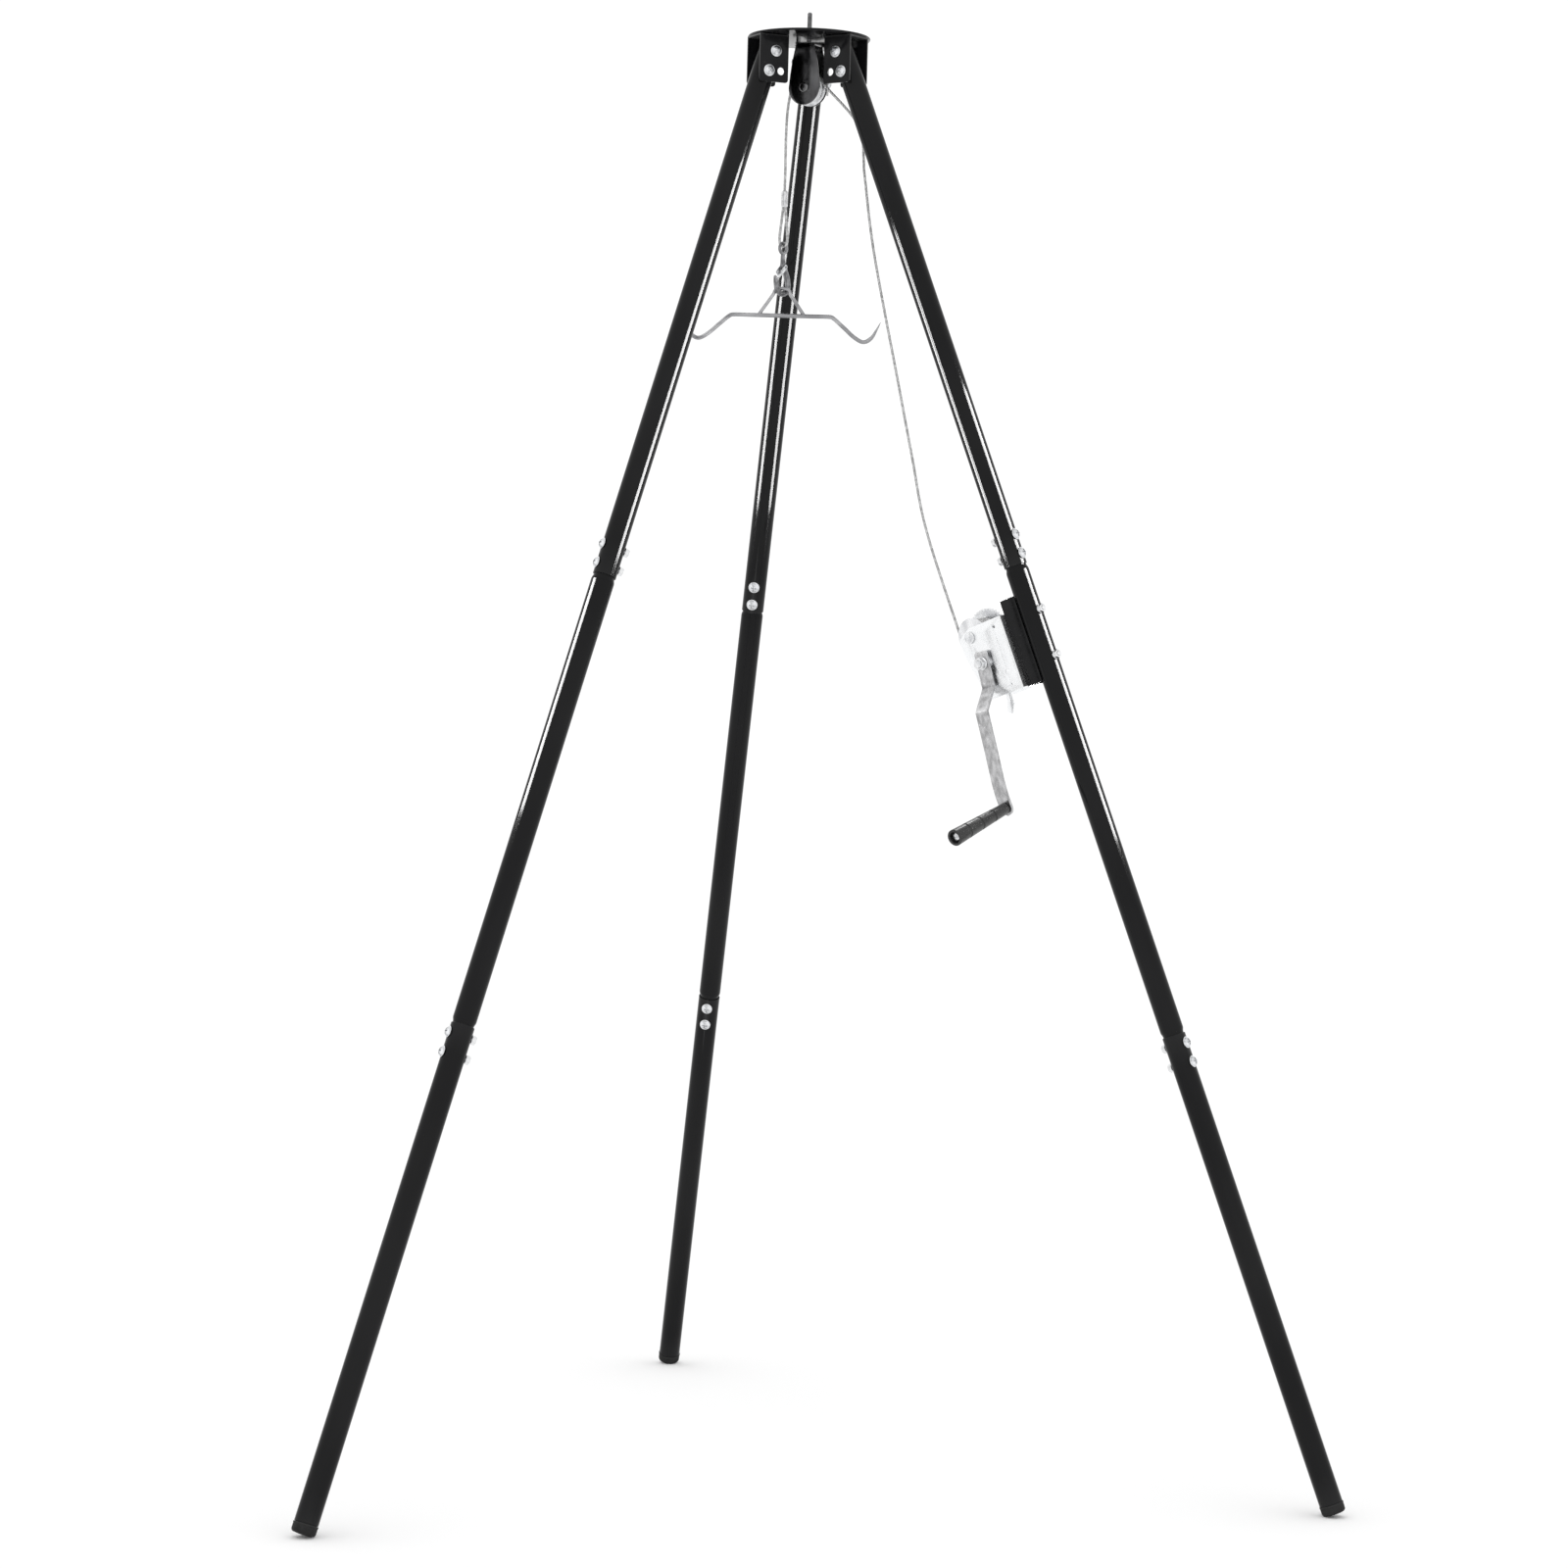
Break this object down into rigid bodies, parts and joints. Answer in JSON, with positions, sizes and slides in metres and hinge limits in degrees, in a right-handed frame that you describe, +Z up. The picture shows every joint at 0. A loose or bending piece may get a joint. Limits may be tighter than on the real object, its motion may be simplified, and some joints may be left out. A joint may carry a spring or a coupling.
{
  "type": "gambrel hoist kit",
  "caption": "Bolted steel tripod with a hand winch on one leg, a wire rope over a swivel pulley, and a hook carrying a gambrel bar.",
  "frame": {"origin": "middle of the footprint, on the floor", "axes": "+Z up along the tripod's axis, +Y towards the rear leg's bracket, -Y towards the viewer of the crank's front"},
  "size_m": [1.5906, 1.6234, 2.3928],
  "materials": {
    "black_enamel": "gloss black enamel on steel",
    "rubber_cap": "matte black rubber",
    "grip_plastic": "ribbed black plastic",
    "zinc_bolts": "bright zinc plate",
    "zinc_small": "bright zinc plate",
    "zinc_hook": "zinc plate",
    "zinc_winch": "bright zinc plate",
    "steel_bar": "plain drawn steel",
    "black_nickel": "dark polished plating",
    "wire_rope": "stranded galvanised wire",
    "loop_aluminium": "pressed aluminium ferrule"
  },
  "bodies": {
    "tripod": {"bracket_bolt_left_1": "zinc_bolts", "bracket_bolt_left_2": "zinc_bolts", "bracket_bolt_rear_1": "zinc_bolts", "bracket_bolt_rear_2": "zinc_bolts", "bracket_bolt_right_1": "zinc_bolts", "bracket_bolt_right_2": "zinc_bolts", "bracket_left": "black_enamel", "bracket_rear": "black_enamel", "bracket_right": "black_enamel", "cable_run": "wire_rope", "drum_shaft": "zinc_winch", "foot_cap_left": "rubber_cap", "foot_cap_rear": "rubber_cap", "foot_cap_right": "rubber_cap", "head_plate": "black_enamel", "lower_joint_bolt_left_1": "zinc_bolts", "lower_joint_bolt_left_2": "zinc_bolts", "lower_joint_bolt_rear_1": "zinc_bolts", "lower_joint_bolt_rear_2": "zinc_bolts", "lower_joint_bolt_right_1": "zinc_bolts", "lower_joint_bolt_right_2": "zinc_bolts", "lower_leg_left": "black_enamel", "lower_leg_rear": "black_enamel", "lower_leg_right": "black_enamel", "middle_leg_left": "black_enamel", "middle_leg_rear": "black_enamel", "middle_leg_right": "black_enamel", "upper_joint_bolt_left_1": "zinc_bolts", "upper_joint_bolt_left_2": "zinc_bolts", "upper_joint_bolt_rear_1": "zinc_bolts", "upper_joint_bolt_rear_2": "zinc_bolts", "upper_joint_bolt_right_1": "zinc_bolts", "upper_joint_bolt_right_2": "zinc_bolts", "upper_leg_left": "black_enamel", "upper_leg_rear": "black_enamel", "upper_leg_right": "black_enamel", "winch_bolt_1": "zinc_bolts", "winch_bolt_2": "zinc_bolts", "winch_frame": "zinc_winch", "winch_mount": "black_enamel"},
    "pulley_block": {"pulley_housing": "black_nickel", "pulley_axle": "zinc_small", "swivel_stud": "zinc_small", "stud_nut": "zinc_small", "cable_over_sheave": "wire_rope"},
    "sheave": {"sheave": "zinc_small"},
    "drum": {"cable_drum": "zinc_winch", "cable_wraps": "wire_rope", "drum_gear": "zinc_winch"},
    "crank": {"pinion_shaft": "zinc_winch", "crank_arm": "zinc_winch", "crank_nut": "zinc_winch", "grip_pin": "zinc_winch"},
    "grip": {"crank_grip": "grip_plastic"},
    "pawl": {"pawl": "zinc_winch"},
    "fall": {"cable_fall": "wire_rope", "cable_end_loop": "loop_aluminium"},
    "hook": {"hook": "zinc_hook"},
    "latch": {"hook_latch": "zinc_small"},
    "gambrel": {"gambrel": "steel_bar"}
  },
  "joints": [
    {"name": "pulley_swivel", "type": "hinge", "parent": "tripod", "child": "pulley_block", "pos_m": [-0.13847, -0.10377, 2.34878], "axis": [0, 0, 1], "range_deg": [-8, 8]},
    {"name": "sheave_spin", "type": "hinge", "parent": "pulley_block", "child": "sheave", "pos_m": [-0.13847, -0.10377, 2.26928], "axis": [0.3907, 0.9205, 0], "range_deg": [-2280, 210]},
    {"name": "drum_spin", "type": "hinge", "parent": "tripod", "child": "drum", "pos_m": [0.17383, -0.13714, 1.38179], "axis": [-0.6023, -0.7809, -0.1653], "range_deg": [-2000, 180]},
    {"name": "crank_spin", "type": "hinge", "parent": "tripod", "child": "crank", "pos_m": [0.20175, -0.15035, 1.34247], "axis": [-0.6023, -0.7809, -0.1653], "range_deg": [-725, 8005]},
    {"name": "grip_spin", "type": "hinge", "parent": "crank", "child": "grip", "pos_m": [0.22239, -0.20039, 1.10284], "axis": [-0.5487, -0.7678, -0.3307], "continuous": true},
    {"name": "pawl_pivot", "type": "hinge", "parent": "tripod", "child": "pawl", "pos_m": [0.237, -0.17456, 1.32844], "axis": [0.6023, 0.7809, 0.1653], "range_deg": [0, 12], "stiffness_Nm_per_rad": 0.1, "springref_deg": -28.65},
    {"name": "hook_lift", "type": "slide", "parent": "pulley_block", "child": "fall", "axis": [0, 0, 1], "range_m": [-1.0736, 0.0984], "deforming": ["cable_fall"]},
    {"name": "hook_swing", "type": "hinge", "parent": "fall", "child": "hook", "pos_m": [-0.17345, -0.08892, 2.01228], "axis": [0.809, -0.5878, 0], "range_deg": [-15, 15]},
    {"name": "latch_hinge", "type": "hinge", "parent": "hook", "child": "latch", "pos_m": [-0.17257, -0.08771, 1.97828], "axis": [0.809, -0.5878, 0], "range_deg": [0, 30], "stiffness_Nm_per_rad": 0.02, "springref_deg": -22.92},
    {"name": "gambrel_tilt", "type": "hinge", "parent": "hook", "child": "gambrel", "pos_m": [-0.17345, -0.08892, 1.93428], "axis": [-0.0872, 0.9962, 0], "range_deg": [-12, 12]}
  ],
  "couplings": [
    {"joint": "crank_spin", "follows": "drum_spin", "ratio": -4},
    {"joint": "sheave_spin", "follows": "drum_spin", "ratio": 1.137},
    {"joint": "hook_lift", "follows": "drum_spin", "m_per_rad": 0.0307}
  ]
}
